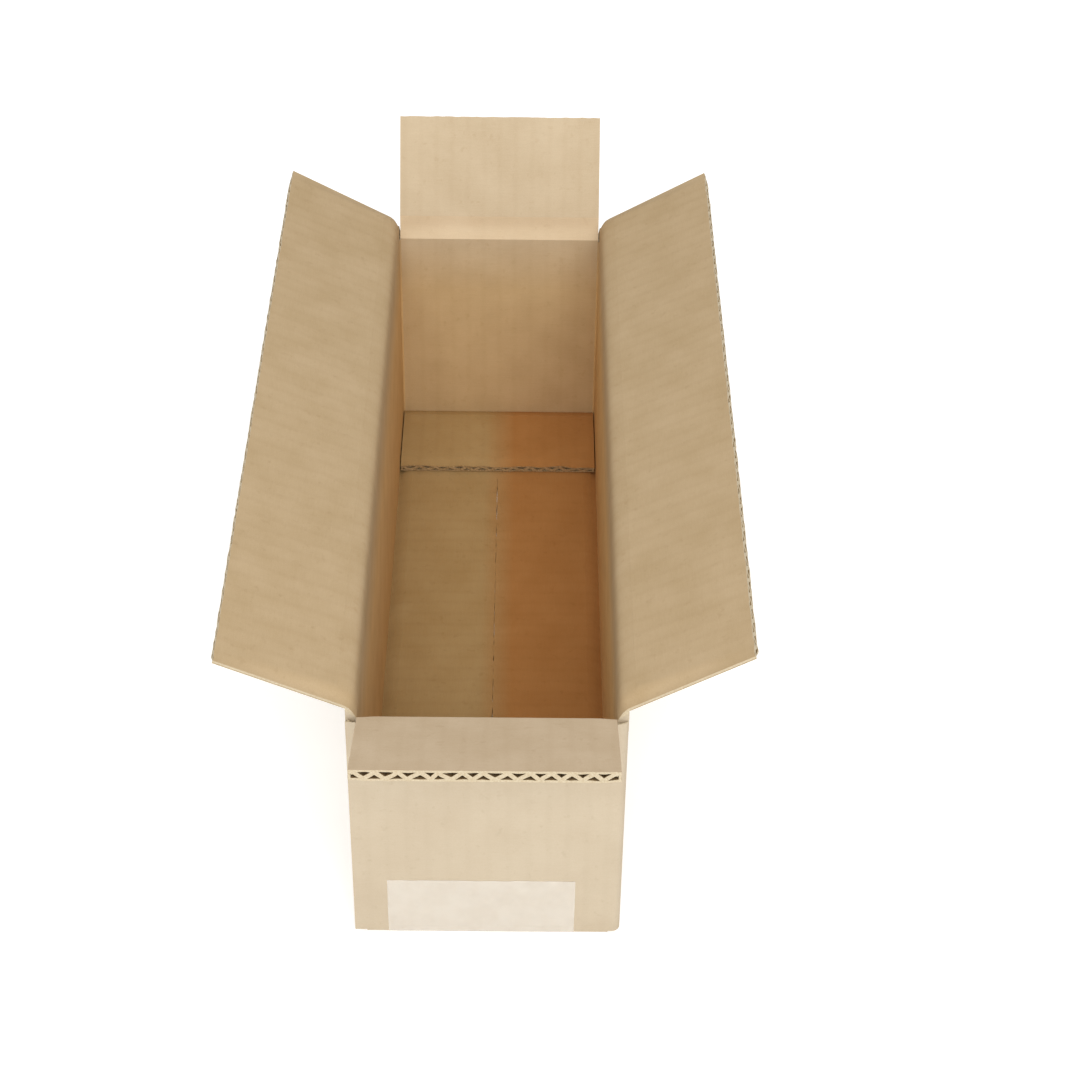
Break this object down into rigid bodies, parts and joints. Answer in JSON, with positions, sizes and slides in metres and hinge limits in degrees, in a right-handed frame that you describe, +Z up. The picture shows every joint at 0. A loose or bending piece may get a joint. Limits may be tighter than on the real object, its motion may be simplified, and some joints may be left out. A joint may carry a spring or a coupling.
{
  "type": "bottle shipping box",
  "caption": "Long low corrugated cardboard shipping box for a single bottle, with open hinged top flaps, folded bottom flaps and a strip of sealing tape.",
  "frame": {"origin": "on the surface the box stands on, under the middle of its outline", "axes": "+Z up, +Y along the long side from the front end to the back end, +X to the right"},
  "size_m": [0.188, 0.4068, 0.1527],
  "materials": {
    "kraft_board": "matte brown kraft paper",
    "packing_tape": "milky clear film"
  },
  "bodies": {
    "box": {"box_body": "kraft_board", "sealing_tape": "packing_tape"},
    "front_flap": {"front_flap": "kraft_board"},
    "back_flap": {"back_flap": "kraft_board"},
    "left_flap": {"left_flap": "kraft_board"},
    "right_flap": {"right_flap": "kraft_board"}
  },
  "joints": [
    {"name": "left_flap_fold", "type": "hinge", "parent": "box", "child": "left_flap", "pos_m": [-0.05, 0, 0.1123], "axis": [0, 1, 0], "range_deg": [-105.5, 154.5]},
    {"name": "right_flap_fold", "type": "hinge", "parent": "box", "child": "right_flap", "pos_m": [0.05, 0, 0.1123], "axis": [0, -1, 0], "range_deg": [-109, 151]},
    {"name": "front_flap_fold", "type": "hinge", "parent": "box", "child": "front_flap", "pos_m": [0, -0.1675, 0.108], "axis": [-1, 0, 0], "range_deg": [-99.5, 160.5]},
    {"name": "back_flap_fold", "type": "hinge", "parent": "box", "child": "back_flap", "pos_m": [0, 0.1675, 0.108], "axis": [1, 0, 0], "range_deg": [-139.5, 120.5]}
  ]
}
